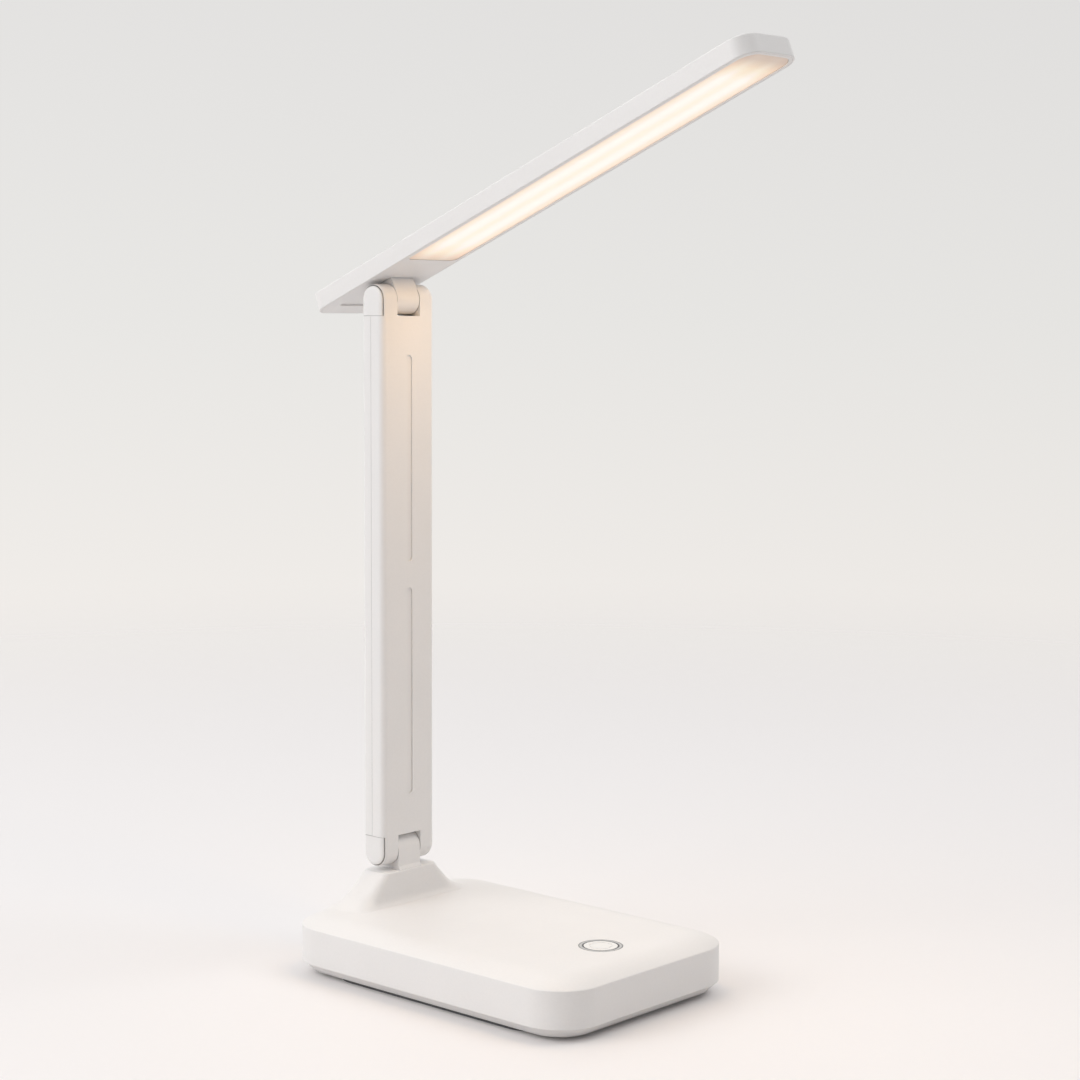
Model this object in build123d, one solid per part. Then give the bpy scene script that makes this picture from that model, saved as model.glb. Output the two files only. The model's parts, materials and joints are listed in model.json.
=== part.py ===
"""Folding desk lamp: flat base, upright folding arm, tilting light head.

Millimetres. The origin is the middle of the anti-slip pad's underside, +Z is up, +X points from
the hinge end of the base to the button end, and the lamp stands unfolded with its head raised.
"""
import math
import os
from build123d import *

# Base casing
base_length = 160.0
base_width = 108.7
base_corner_radius = 19.3
casing_wall = 2.2
pad_drop = 1.6              # gap between the casing and the table
chamfer_height = 4.2
chamfer_inset = 4.76
wall_height = 15.2          # upright face between chamfer and crown
crown_inset = 13.3          # width of the curved border of the top
crown_radius = 25.25
rim_round = 0.7

# Hinge pedestal on the base
pedestal_height = 13.9
plateau_length = 14.6
plateau_width = 31.4
plateau_front_setback = 7.98    # plateau front edge, ahead of the hinge axis
plateau_round = 0.8
plateau_thickness = 3.0
# On the way down: drop, spread to the rear, to the front, to each side, and corner radius
pedestal_steps = (
    (0.0, 0.0, 0.0, 0.0, 3.2),
    (4.2, 1.0, 0.3, 4.2, 4.4),
    (8.2, 2.0, 0.6, 8.4, 5.6),
    (11.2, 3.0, 1.1, 12.5, 6.8),
    (13.0, 3.9, 2.1, 16.4, 7.8),
    (14.4, 4.8, 4.2, 21.0, 9.0),
    (16.6, 6.2, 7.6, 28.0, 11.0),
)

# Hinges
hinge_setback = 14.82           # hinge axis, ahead of the casing's rear end
pivot_above_plateau = 8.6
pivot_spacing = 238.2
knuckle_radius = 6.5
knuckle_width = 13.0
shaft_radius = 2.5
thread_radius = 2.0
running_clearance = 0.05
bush_wall = 0.65
washer_radius = 4.6
washer_thickness = 0.9
washer_sunk = 0.75
lead_radius = 0.8
lead_clearance = 0.15
lead_offset = 4.75              # lead channel, behind the hinge axis
lead_groove_width = 2.2
base_neck_flare = 1.0
base_neck_flare_height = 1.6

# Arm
arm_depth = 13.22
arm_width = 31.24
arm_edge_round = 2.77
arm_wall = 1.8
slot_width = 13.485
slot_reach = 6.9                # slot floor, beyond the hinge axis
web_thickness = 2.5
split_setback = 0.52            # shell split, behind the hinge axis
seam_gap = 0.12
lap_height = 1.6
lap_thickness = 1.0
groove_width = 3.9
groove_depth = 0.55
groove_start = 24.21            # above the lower hinge axis
lower_groove_length = 90.4
groove_break = 11.3
groove_end = 23.49              # below the upper hinge axis
arm_lead_offset = 3.2
arm_screw_reach = 45.0          # from the nearer hinge axis
arm_screw_spread = 7.5
clip_reach = 23.0               # from the nearer hinge axis
clip_count = 5
clip_thickness = 1.2
clip_height = 3.0
stiffener_width = 24.0
stiffener_thickness = 1.2
stiffener_flange = 4.0
stiffener_margin = 6.0
boss_height = 2.0
boss_radius = 3.0

# Hinge caps and the fasteners under them
cap_radius = 5.73
cap_gap = 0.42
cap_thickness = 2.0
cap_skirt_depth = 0.9
cap_skirt_wall = 0.5
pocket_radius = 5.3
ear_wall = 3.66                 # plastic between slot and fastener pocket
shaft_head_radius = 4.2
shaft_head_height = 2.6
socket_width = 4.0
socket_depth = 1.4
spring_washer_radius = 4.4
spring_washer_thickness = 1.0
nut_across_flats = 7.0
nut_height = 2.0

# Head, in its own axes: x along the head, z square to it, both from the upper hinge axis
head_tilt = 22.14
head_rear = -34.9
head_front = 218.1
head_width = 33.65
head_underside = 7.75
head_thickness = 8.0
head_wall = 1.6
head_front_corner = 9.0
head_rear_corner = 7.0
head_top_round = 0.9
head_edge_round = 0.35
frame_inset = 0.9
frame_thickness = 1.6
window_rear = 24.75
window_front = 215.9
window_width = 28.4
window_rear_corner = 2.5
window_front_corner = 6.8
diffuser_sunk = 0.2
diffuser_flange = 0.45
diffuser_flange_thickness = 0.8
rear_recess_start = -26.1
rear_recess_end = -8.6
rear_recess_width = 18.4
rear_recess_depth = 0.8
rear_recess_corner = 1.5
neck_front = 5.6
neck_waist_front = 6.3          # front of the neck where it leaves the barrel
neck_flare_height = 3.0
flange_front = 15.0
flange_rear = -17.0
flange_width = 26.0
flange_thickness = 2.0
flange_above_frame = 1.55
flange_screw_inset = 4.0
tab_length = 5.0
tab_thickness = 0.9
tab_height = 3.0
tab_places = (-24.0, 19.0)
led_rows = (-6.2, 6.2)
led_first = 33.0
led_pitch = 9.0
led_count = 20
led_length = 3.5
led_width = 2.8
led_height = 0.7
led_window_gap = 0.25
board_tape_thickness = 0.3
board_tape_margin = 1.0
led_board_rear = 21.0
led_board_front = 209.0
led_board_width = 25.0
led_board_thickness = 1.0
reflector_rear = 27.5
reflector_front = 211.5
reflector_width = 27.6
reflector_sheet = 0.4
reflector_wall = 0.5
head_lead_bend = 2.2
head_lead_start = 2.2           # below the upper hinge axis
head_lead_end_gap = 1.0
head_slot_room = 0.9            # room for the bend, under the lead

# Touch button
button_setback = 28.4           # button axis, behind the casing's front end
button_ring_radius = 9.08
button_radius = 7.1
button_gap = 0.15
button_flange_radius = 11.5
button_flange_thickness = 1.2
button_ledge = 1.6
button_mark_radius = 4.7
button_mark_width = 0.35
button_mark_depth = 0.12

# Base interior
fit_gap = 0.2
cover_thickness = 2.4
cover_border = 6.4
lip_height = 2.4
lip_thickness = 1.5
pad_end_margin = 21.0
pad_side_margin = 6.35
pad_corner = 14.0
pad_thickness = 2.0
pad_side_gap = 0.25
cover_screw_end_margin = 30.0
cover_screw_side_margin = 16.35
pillar_radius = 4.5
pillar_height = 4.0
casing_boss_radius = 4.0
cover_screw_depth = 10.0
weight_rear_gap = 2.2           # counterweight, ahead of the charging board
weight_front_gap = 10.0         # counterweight, behind the control board
weight_width = 60.0
weight_thickness = 5.0
weight_corner = 3.0
weight_screw_inset = 4.5
weight_screw_cover = 0.8        # screw head beyond the hole of the counterweight
weight_peg_radius = 3.0
cell_rear_margin = 9.0          # cell, inside the counterweight's rear end
cell_front_margin = 1.0
cell_width = 34.0
cell_thickness = 6.5
cell_corner = 2.5
cell_pad_thickness = 0.8
cell_pad_inset = 3.0
board_length = 42.0
board_width = 42.0
board_thickness = 1.6
board_corner = 1.0
board_setback = 16.0            # control board, behind the casing's front end
board_standoff = 8.0
board_screw_inset = 3.5
board_pillar_radius = 2.5
charge_board_length = 23.0
charge_board_width = 26.0
charge_board_standoff = 5.0
charge_screw_inset = 4.0
screw_tip_gap = 1.0
spring_width = 4.0
spring_thickness = 0.3
spring_foot_rear = 5.0
spring_foot_front = 4.0
spring_fold = 3.0               # how far the folds lie from the button's axis
spring_bend = 1.2
socket_shell_width = 8.94
socket_shell_height = 3.26
socket_shell_length = 7.3
socket_shell_wall = 0.3
socket_shell_corner = 1.5
socket_tongue_width = 6.7
socket_tongue_height = 0.7
port_width = 13.0
port_height = 7.0
port_depth = 5.0
port_corner = 1.75
port_wall = 1.6
stub_length = 9.0
stub_width = 11.0
stub_depth = 8.0
well_wall = 1.6
well_floor = 2.4
knuckle_screw_spread = 3.2
cut_margin = 2.0
touch_gap = 0.1

# Leads in the base: lengths along X from the pieces that they pass, then heights and sides
lead_bend = 5.0
lead_on_board = 7.0
lead_off_board = 1.0
lead_slope = 7.0
lead_past_cell = 6.0
lead_rise = 2.4
lead_above_pivot = 3.0
charge_lead_length_on_board = 10.0
charge_lead_y = (-3.5, -4.5, -11.0)     # where it starts, leaves its board and ends
charge_lead_cell_gap = 4.0
charge_lead_sway = 3.0
charge_lead_run = 5.0
charge_lead_turn = 7.0
cell_lead_y = (9.0, 5.5, 3.0)
cell_lead_drop = 2.5
cell_lead_stub = 4.0
cell_lead_on_board = 3.0

# Fasteners: head radius, head height, shank radius
large_screw = (2.7, 1.8, 1.5)
medium_screw = (2.2, 1.5, 1.25)
small_screw = (2.0, 1.3, 1.0)
thread_gap = 0.03
screw_play = 0.2
head_play = 0.3
recess_width = 0.6
recess_reach = 0.6              # share of the head radius that the cross recess reaches
recess_depth = 0.7

# Heights and places that follow from the sizes above
casing_bottom = pad_drop
crease_z = casing_bottom + chamfer_height
rim_z = crease_z + wall_height
crown_angle = math.asin(crown_inset / crown_radius)
top_z = rim_z + crown_radius * (1 - math.cos(crown_angle))
casing_ceiling = top_z - casing_wall
floor_z = casing_bottom + cover_thickness
pad_recess_z = pad_thickness
plateau_z = top_z + pedestal_height
lower_pivot_z = plateau_z + pivot_above_plateau
upper_pivot_z = lower_pivot_z + pivot_spacing
lower_slot_z = lower_pivot_z + slot_reach
upper_slot_z = upper_pivot_z - slot_reach
lower_groove_bottom = lower_pivot_z + groove_start
lower_groove_top = lower_groove_bottom + lower_groove_length
upper_groove_bottom = lower_groove_top + groove_break
upper_groove_top = upper_pivot_z - groove_end
clip_pitch = (pivot_spacing - 2 * clip_reach) / (clip_count - 1)
base_rear = -base_length / 2
hinge_x = base_rear + hinge_setback
plateau_front = hinge_x + plateau_front_setback
plateau_rear = plateau_front - plateau_length
arm_front = hinge_x + arm_depth / 2
arm_rear = hinge_x - arm_depth / 2
arm_side = arm_width / 2
split_x = hinge_x - split_setback
pocket_floor_y = slot_width / 2 + ear_wall
cap_inner_y = arm_side - cap_thickness
bush_radius = shaft_radius + running_clearance + bush_wall
channel_radius = lead_radius + lead_clearance
frame_top = head_underside + frame_thickness
head_top = head_underside + head_thickness
head_ceiling = head_top - head_wall
flange_bottom = frame_top + flange_above_frame
flange_top = flange_bottom + flange_thickness
led_board_top = head_ceiling - board_tape_thickness
led_board_bottom = led_board_top - led_board_thickness
board_bottom = floor_z + board_standoff
board_top = board_bottom + board_thickness
weight_top = floor_z + weight_thickness
cell_bottom = weight_top + cell_pad_thickness
cell_top = cell_bottom + cell_thickness
charge_board_bottom = floor_z + charge_board_standoff
charge_board_top = charge_board_bottom + board_thickness
charge_board_rear = base_rear + port_depth + port_wall + fit_gap
port_z = charge_board_top + socket_shell_height / 2
charge_board_front = charge_board_rear + charge_board_length
board_rear = base_length / 2 - board_setback - board_length
board_x = board_rear + board_length / 2
weight_rear = charge_board_front + weight_rear_gap
weight_front = board_rear - weight_front_gap
weight_length = weight_front - weight_rear
weight_x = (weight_rear + weight_front) / 2
cell_rear = weight_rear + cell_rear_margin
cell_front = weight_front - cell_front_margin
cell_length = cell_front - cell_rear
cell_x = (cell_rear + cell_front) / 2
pad_length = base_length - 2 * pad_end_margin
pad_width = base_width - 2 * pad_side_margin
cover_screw_x = base_length / 2 - cover_screw_end_margin
cover_screw_y = base_width / 2 - cover_screw_side_margin
button_x = base_length / 2 - button_setback
button_bottom = casing_ceiling - button_flange_thickness
well_bottom = plateau_z - stub_depth - well_floor
cover_screw_seat = pad_recess_z + large_screw[1] + head_play + fit_gap


def block(x0, x1, y0, y1, z0, z1):
    middle = Pos((x0 + x1) / 2, (y0 + y1) / 2, (z0 + z1) / 2)
    return middle * Box(x1 - x0, y1 - y0, z1 - z0)


def upright(radius, x, y, z0, z1):
    return Pos(x, y, (z0 + z1) / 2) * Cylinder(radius, z1 - z0)


def crosswise(radius, x, z, y0, y1):
    """Cylinder along Y."""
    return Pos(x, (y0 + y1) / 2, z) * Rot(90, 0, 0) * Cylinder(radius, y1 - y0)


def plate(length, width, corner, z0, z1, x=0.0):
    return Pos(x, 0, z0) * extrude(RectangleRounded(length, width, corner), z1 - z0)


def soft_rectangle(x0, x1, width, rear_corner, front_corner):
    """Flat rectangle whose rear and front corners have different radii."""
    outline = Pos((x0 + x1) / 2, 0) * Rectangle(x1 - x0, width)
    outline = fillet(outline.vertices().group_by(Axis.X)[0], rear_corner)
    return fillet(outline.vertices().group_by(Axis.X)[-1], front_corner)


def screw(kind, shank_length):
    """Cross-head screw: head below the XY plane, shank above it."""
    head_radius, head_height, shank_radius = kind
    body = upright(head_radius, 0, 0, -head_height, 0)
    body += upright(shank_radius, 0, 0, 0, shank_length)
    reach = head_radius * recess_reach
    half = recess_width / 2
    body -= block(-reach, reach, -half, half, -head_height, recess_depth - head_height)
    body -= block(-half, half, -reach, reach, -head_height, recess_depth - head_height)
    return body


def tube_along(points, bend, radius):
    """Round lead along straight runs joined by tangent arcs."""
    path = FilletPolyline(*points, radius=bend)
    start = Plane(origin=path @ 0, z_dir=path % 0)
    return sweep(start * Circle(radius), path=path)


def group(solids):
    return Compound(children=list(solids))


# Base casing ---------------------------------------------------------------------------------


def crowned_block(inset, bottom):
    """Solid under the crowned top, with its sides and top drawn in by inset."""
    length = base_length - 2 * inset
    width = base_width - 2 * inset
    radius = crown_radius - inset
    reach = crown_inset - inset
    angle = math.asin(reach / radius)
    rise = radius * (1 - math.cos(angle))
    top = top_z - inset
    outline = RectangleRounded(length, width, base_corner_radius - inset)
    solid = Pos(0, 0, bottom) * extrude(outline, top - bottom)
    path = (Pos(0, 0, top - rise) * outline).face().outer_wire()
    outward = (path % 0).cross(Vector(0, 0, 1))
    section = Plane(origin=path @ 0, x_dir=outward, z_dir=(path % 0) * -1)
    middle = (radius * math.sin(angle / 2) - reach, rise - radius * (1 - math.cos(angle / 2)))
    border = ThreePointArc((0, 0), middle, (-reach, rise))
    rest = Polyline((-reach, rise), (-reach, rise + cut_margin), (cut_margin, rise + cut_margin),
                    (cut_margin, 0), (0, 0))
    profile = make_face([border, rest])
    return solid - sweep(section * profile, path=path)


def pedestal_block(inset):
    """Flared pedestal, drawn in by inset on every flank."""
    sections = []
    for drop, rearward, forward, sideways, corner in pedestal_steps:
        front = plateau_front + forward - inset
        rear = plateau_rear - rearward + inset
        width = plateau_width + 2 * (sideways - inset)
        outline = Pos((front + rear) / 2, 0) * RectangleRounded(front - rear, width, corner - inset)
        sections.append(Pos(0, 0, plateau_z - drop) * outline)
    return loft(sections)


def cover_screw_places():
    return [(x, y) for x in (-cover_screw_x, cover_screw_x) for y in (-cover_screw_y, cover_screw_y)]


def socket_envelope(gap, x0, x1):
    width = socket_shell_width + 2 * gap
    height = socket_shell_height + 2 * gap
    outline = RectangleRounded(width, height, socket_shell_corner + gap)
    return extrude(Plane(origin=(x0, 0, port_z), x_dir=(0, 1, 0), z_dir=(1, 0, 0)) * outline, x1 - x0)


def charging_port_walls():
    half_width = port_width / 2 + port_wall
    half_height = port_height / 2 + port_wall
    inner_x = base_rear + port_depth + port_wall
    return block(base_rear + casing_wall / 2, inner_x, -half_width, half_width,
                 port_z - half_height, port_z + half_height)


def charging_port_hollow():
    half_width = port_width / 2
    half_height = port_height / 2
    pocket = block(base_rear - cut_margin, base_rear + port_depth, -half_width, half_width,
                   port_z - half_height, port_z + half_height)
    pocket = fillet(pocket.edges().filter_by(Axis.X), port_corner)
    window_end = base_rear + port_depth + port_wall + cut_margin
    return pocket + socket_envelope(fit_gap, base_rear + port_depth - cut_margin, window_end)


def lead_channel(bottom, top):
    return upright(channel_radius, hinge_x - lead_offset, 0, bottom, top)


def base_top_shell():
    body = crowned_block(0, crease_z)
    rim = body.edges().filter_by(lambda edge: abs(edge.center().Z - rim_z) < rim_round / 10)
    body = fillet(rim, rim_round)
    pedestal = pedestal_block(0)
    pedestal = fillet(pedestal.faces().sort_by(Axis.Z)[-1].edges(), plateau_round)
    body += pedestal
    hollow_top = plateau_z - plateau_thickness
    hollow = pedestal_block(casing_wall) & block(base_rear, 0, -base_width, base_width, 0, hollow_top)
    body -= crowned_block(casing_wall, crease_z - cut_margin) + hollow
    # Well that takes the knuckle's stub
    half_length = stub_length / 2 + fit_gap / 2 + well_wall
    half_width = stub_width / 2 + fit_gap / 2 + well_wall
    well = block(hinge_x - half_length, hinge_x + half_length, -half_width, half_width,
                 well_bottom, plateau_z - plateau_thickness / 2)
    body += well & pedestal_block(casing_wall / 2)
    body -= block(hinge_x - stub_length / 2 - fit_gap / 2, hinge_x + stub_length / 2 + fit_gap / 2,
                  -stub_width / 2 - fit_gap / 2, stub_width / 2 + fit_gap / 2,
                  plateau_z - stub_depth - fit_gap, plateau_z + cut_margin)
    for side in (-1, 1):
        body -= upright(medium_screw[2] + screw_play, hinge_x, side * knuckle_screw_spread,
                        well_bottom - cut_margin, plateau_z)
    body -= lead_channel(well_bottom - cut_margin, plateau_z + cut_margin)
    # Screw bosses
    for x, y in cover_screw_places():
        boss_bottom = floor_z + pillar_height
        body += upright(casing_boss_radius, x, y, boss_bottom, casing_ceiling + fit_gap)
        body -= upright(large_screw[2] + thread_gap, x, y, boss_bottom - cut_margin,
                        cover_screw_seat + cover_screw_depth + fit_gap)
    # Touch button opening and charging port
    body -= upright(button_ring_radius + button_gap / 2, button_x, 0, 0, top_z + cut_margin)
    return body + charging_port_walls() - charging_port_hollow()


def base_bottom_cover():
    bottom_outline = RectangleRounded(base_length - 2 * chamfer_inset, base_width - 2 * chamfer_inset,
                                      base_corner_radius - chamfer_inset)
    top_outline = RectangleRounded(base_length, base_width, base_corner_radius)
    body = loft([Pos(0, 0, casing_bottom) * bottom_outline, Pos(0, 0, crease_z) * top_outline],
                ruled=True)
    body -= plate(base_length - 2 * cover_border, base_width - 2 * cover_border,
                  base_corner_radius - cover_border, floor_z, crease_z + cut_margin)
    lip_inset = casing_wall + fit_gap
    inner_inset = lip_inset + lip_thickness
    lip = plate(base_length - 2 * lip_inset, base_width - 2 * lip_inset,
                base_corner_radius - lip_inset, crease_z - casing_wall, crease_z + lip_height)
    lip -= plate(base_length - 2 * inner_inset, base_width - 2 * inner_inset,
                 base_corner_radius - inner_inset, floor_z - cut_margin, crease_z + lip_height + cut_margin)
    port_half = port_width / 2 + port_wall + fit_gap
    lip -= block(base_rear, base_rear + cover_border + cut_margin, -port_half, port_half,
                 port_z - port_height / 2 - port_wall - fit_gap, crease_z + lip_height + cut_margin)
    body += lip
    body -= plate(pad_length + 2 * pad_side_gap, pad_width + 2 * pad_side_gap,
                  pad_corner + pad_side_gap, 0, pad_recess_z)
    for x, y in cover_screw_places():
        body += upright(pillar_radius, x, y, floor_z - fit_gap, floor_z + pillar_height)
        body -= upright(large_screw[2] + screw_play, x, y, 0, floor_z + pillar_height + cut_margin)
        body -= upright(large_screw[0] + screw_play, x, y, 0, cover_screw_seat)
    for x, y in board_screw_places():
        body += upright(board_pillar_radius, x, y, floor_z - fit_gap, board_bottom)
        body -= upright(small_screw[2] + thread_gap, x, y, floor_z, board_bottom + cut_margin)
    for x, y in weight_screw_places():
        body += upright(weight_peg_radius, x, y, floor_z - fit_gap, weight_top)
        body -= upright(medium_screw[2] + thread_gap, x, y, floor_z, weight_top + cut_margin)
    for x, y in charge_screw_places():
        body += upright(board_pillar_radius, x, y, floor_z - fit_gap, charge_board_bottom)
        body -= upright(small_screw[2] + thread_gap, x, y, floor_z, charge_board_bottom + cut_margin)
    return body


def anti_slip_pad():
    return plate(pad_length, pad_width, pad_corner, 0, pad_thickness)


def cover_screws():
    one = screw(large_screw, cover_screw_depth)
    return group(Pos(x, y, cover_screw_seat) * one for x, y in cover_screw_places())


# Base interior -------------------------------------------------------------------------------


def weight_screw_places():
    half_length = weight_length / 2 - weight_screw_inset
    half_width = weight_width / 2 - weight_screw_inset
    return [(weight_x - half_length, -half_width), (weight_x + half_length, half_width)]


def counterweight_plate():
    body = plate(weight_length, weight_width, weight_corner, floor_z, weight_top, weight_x)
    for x, y in weight_screw_places():
        body -= upright(weight_peg_radius + fit_gap, x, y, floor_z - cut_margin, weight_top + cut_margin)
    return body


def screws_from_above(kind, places, seat_z, length):
    one = Rot(180, 0, 0) * screw(kind, length)
    return group(Pos(x, y, seat_z) * one for x, y in places)


def counterweight_screws():
    head_radius = weight_peg_radius + fit_gap + weight_screw_cover
    washer_head = (head_radius, medium_screw[1], medium_screw[2])
    return screws_from_above(washer_head, weight_screw_places(), weight_top, weight_thickness - fit_gap)


def battery_cell():
    return plate(cell_length, cell_width, cell_corner, cell_bottom, cell_top, cell_x)


def battery_pad():
    return plate(cell_length - 2 * cell_pad_inset, cell_width - 2 * cell_pad_inset, cell_corner,
                 weight_top, cell_bottom, cell_x)


def board_screw_places():
    half_length = board_length / 2 - board_screw_inset
    half_width = board_width / 2 - board_screw_inset
    return [(board_x + i * half_length, j * half_width) for i in (-1, 1) for j in (-1, 1)]


def control_board():
    body = plate(board_length, board_width, board_corner, board_bottom, board_top, board_x)
    for x, y in board_screw_places():
        body -= upright(small_screw[2] + screw_play, x, y, board_bottom - cut_margin, board_top + cut_margin)
    return body


# Length, width, height, and place of each component's middle from the board's middle
board_parts = (
    (7.0, 7.0, 1.2, -8.0, 8.0),
    (5.0, 6.0, 1.6, -8.0, -4.0),
    (6.0, 6.0, 3.2, 4.0, 13.0),
    (4.0, 3.0, 1.0, 2.0, -12.0),
    (2.0, 5.0, 1.0, 12.0, -12.0),
    (5.0, 8.0, 4.5, -16.0, 9.0),
)


def board_components():
    parts = []
    for length, width, height, x, y in board_parts:
        parts.append(Pos(board_x + x, y, board_top + height / 2) * Box(length, width, height))
    return group(parts)


def charge_screw_places():
    x = charge_board_rear + charge_board_length - charge_screw_inset
    y = charge_board_width / 2 - charge_screw_inset
    return [(x, -y), (x, y)]


def charging_board():
    middle = charge_board_rear + charge_board_length / 2
    body = plate(charge_board_length, charge_board_width, board_corner, charge_board_bottom,
                 charge_board_top, middle)
    for x, y in charge_screw_places():
        body -= upright(small_screw[2] + screw_play, x, y, charge_board_bottom - cut_margin,
                        charge_board_top + cut_margin)
    return body


def charging_socket():
    mouth = base_rear + port_depth
    end = mouth + socket_shell_length
    shell = socket_envelope(0, mouth, end)
    shell -= socket_envelope(-socket_shell_wall, mouth - cut_margin, end - socket_shell_wall)
    tongue = block(mouth + socket_shell_wall, end - socket_shell_wall / 2, -socket_tongue_width / 2,
                   socket_tongue_width / 2, port_z - socket_tongue_height / 2,
                   port_z + socket_tongue_height / 2)
    return shell + tongue


def touch_contact_spring():
    """Bent strip from the control board up to the underside of the touch button."""
    foot_z = board_top + spring_thickness / 2
    crest_z = casing_ceiling - spring_thickness / 2
    points = [(button_x - spring_foot_rear, 0, foot_z), (button_x + spring_foot_front, 0, foot_z),
              (button_x - spring_fold, 0, (foot_z + crest_z) / 2), (button_x + spring_fold, 0, crest_z)]
    path = FilletPolyline(*points, radius=spring_bend)
    start = Plane(origin=path @ 0, x_dir=(0, 1, 0), z_dir=path % 0)
    return sweep(start * Rectangle(spring_width, spring_thickness), path=path)


def touch_button_ring():
    ring = upright(button_ring_radius, button_x, 0, button_bottom, top_z)
    ring += upright(button_flange_radius, button_x, 0, button_bottom, casing_ceiling)
    ring -= upright(button_radius, button_x, 0, casing_ceiling, top_z + cut_margin)
    return ring - upright(button_radius - button_ledge, button_x, 0, 0, top_z + cut_margin)


def touch_button():
    radius = button_radius - button_gap
    disc = upright(radius, button_x, 0, casing_ceiling, top_z)
    mark = upright(button_mark_radius, button_x, 0, top_z - button_mark_depth, top_z + cut_margin)
    mark -= upright(button_mark_radius - button_mark_width, button_x, 0, 0, top_z + cut_margin)
    return disc - mark


# Hinge pieces --------------------------------------------------------------------------------


def knuckle_core(waist_front, foot_front, bottom, flare_height):
    """Barrel about the hinge axis with a neck below it; x and z count from the axis."""
    barrel = crosswise(knuckle_radius, 0, 0, -knuckle_width / 2, knuckle_width / 2)
    rear = -knuckle_radius
    outline = Polyline((rear, 0), (waist_front, 0), (waist_front, bottom + flare_height),
                       (foot_front, bottom), (rear, bottom), (rear, 0))
    neck = extrude(Plane.XZ * make_face(outline), knuckle_width / 2, both=True)
    return barrel + neck


def hinge_hollows():
    """What is cut from a knuckle for its bush and washers."""
    half = knuckle_width / 2
    hollow = crosswise(bush_radius, 0, 0, -half - cut_margin, half + cut_margin)
    for side in (-1, 1):
        inner, outer = sorted((side * (half - washer_sunk), side * (half + cut_margin)))
        hollow += crosswise(washer_radius + thread_gap, 0, 0, inner, outer)
    return hollow


def lead_groove():
    """Quarter-round groove behind the barrel that gives the lead room to bend."""
    half = lead_groove_width / 2
    reach = knuckle_radius + cut_margin
    ring = crosswise(reach, 0, 0, -half, half)
    ring -= crosswise(lead_offset - channel_radius, 0, 0, -half - cut_margin, half + cut_margin)
    return ring & block(-reach, 0, -half, half, 0, reach)


def at_lower_hinge(body):
    return Pos(hinge_x, 0, lower_pivot_z) * body


def at_upper_hinge(body):
    return Pos(hinge_x, 0, upper_pivot_z) * body


def in_head(body):
    return Pos(hinge_x, 0, upper_pivot_z) * Rot(0, -head_tilt, 0) * body


def base_knuckle():
    bottom = -pivot_above_plateau
    body = knuckle_core(knuckle_radius, knuckle_radius + base_neck_flare, bottom, base_neck_flare_height)
    body += block(-stub_length / 2, stub_length / 2, -stub_width / 2, stub_width / 2,
                  bottom - stub_depth, bottom)
    body -= hinge_hollows() + lead_groove()
    body -= upright(channel_radius, -lead_offset, 0, bottom - stub_depth - cut_margin, knuckle_radius)
    for side in (-1, 1):
        body -= upright(medium_screw[2] + thread_gap, 0, side * knuckle_screw_spread,
                        bottom - stub_depth - cut_margin, bottom)
    return at_lower_hinge(body)


def knuckle_screws():
    one = screw(medium_screw, well_floor + stub_depth - fit_gap)
    places = [(hinge_x, side * knuckle_screw_spread) for side in (-1, 1)]
    return group(Pos(x, y, well_bottom) * one for x, y in places)


def shaft_bore(y0, y1):
    return crosswise(shaft_radius + running_clearance, 0, 0, y0 - cut_margin, y1 + cut_margin)


def hinge_bush():
    half = knuckle_width / 2 - washer_sunk
    bush = crosswise(bush_radius, 0, 0, -half, half)
    return bush - shaft_bore(-half, half)


def friction_washers():
    rings = []
    for side in (-1, 1):
        inner = side * (knuckle_width / 2 - washer_sunk)
        y0, y1 = sorted((inner, inner + side * washer_thickness))
        ring = crosswise(washer_radius, 0, 0, y0, y1)
        rings.append(ring - shaft_bore(y0, y1))
    return rings


def hinge_shaft():
    """Shoulder screw: socket head on the near side, threaded end on the far side."""
    seat = pocket_floor_y
    shoulder = seat + spring_washer_thickness
    body = crosswise(shaft_head_radius, 0, 0, -seat - shaft_head_height, -seat)
    body += crosswise(shaft_radius, 0, 0, -seat, shoulder)
    body += crosswise(thread_radius, 0, 0, shoulder, shoulder + nut_height)
    socket = RegularPolygon(socket_width / 2, 6, major_radius=False)
    face = Plane(origin=(0, -seat - shaft_head_height, 0), z_dir=(0, 1, 0))
    return body - extrude(face * socket, socket_depth)


def spring_washer():
    y0 = pocket_floor_y
    y1 = y0 + spring_washer_thickness
    ring = crosswise(spring_washer_radius, 0, 0, y0, y1)
    return ring - shaft_bore(y0, y1)


def hinge_nut():
    start = pocket_floor_y + spring_washer_thickness
    face = Plane(origin=(0, start, 0), z_dir=(0, 1, 0))
    nut = extrude(face * RegularPolygon(nut_across_flats / 2, 6, major_radius=False), nut_height)
    end = start + nut_height + cut_margin
    return nut - crosswise(thread_radius + thread_gap, 0, 0, start - cut_margin, end)


# Arm -----------------------------------------------------------------------------------------


def arm_form():
    """Outside of the closed arm: a straight bar with round ends and rounded long edges."""
    outline = Rot(0, 0, 90) * SlotCenterToCenter(pivot_spacing, arm_depth)
    middle_z = (lower_pivot_z + upper_pivot_z) / 2
    body = extrude(Plane.XZ * outline, arm_side, both=True)
    body = Pos(hinge_x, 0, middle_z) * body
    ends = body.faces().sort_by(Axis.Y)
    return fillet(ends[0].edges() + ends[-1].edges(), arm_edge_round)


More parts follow.
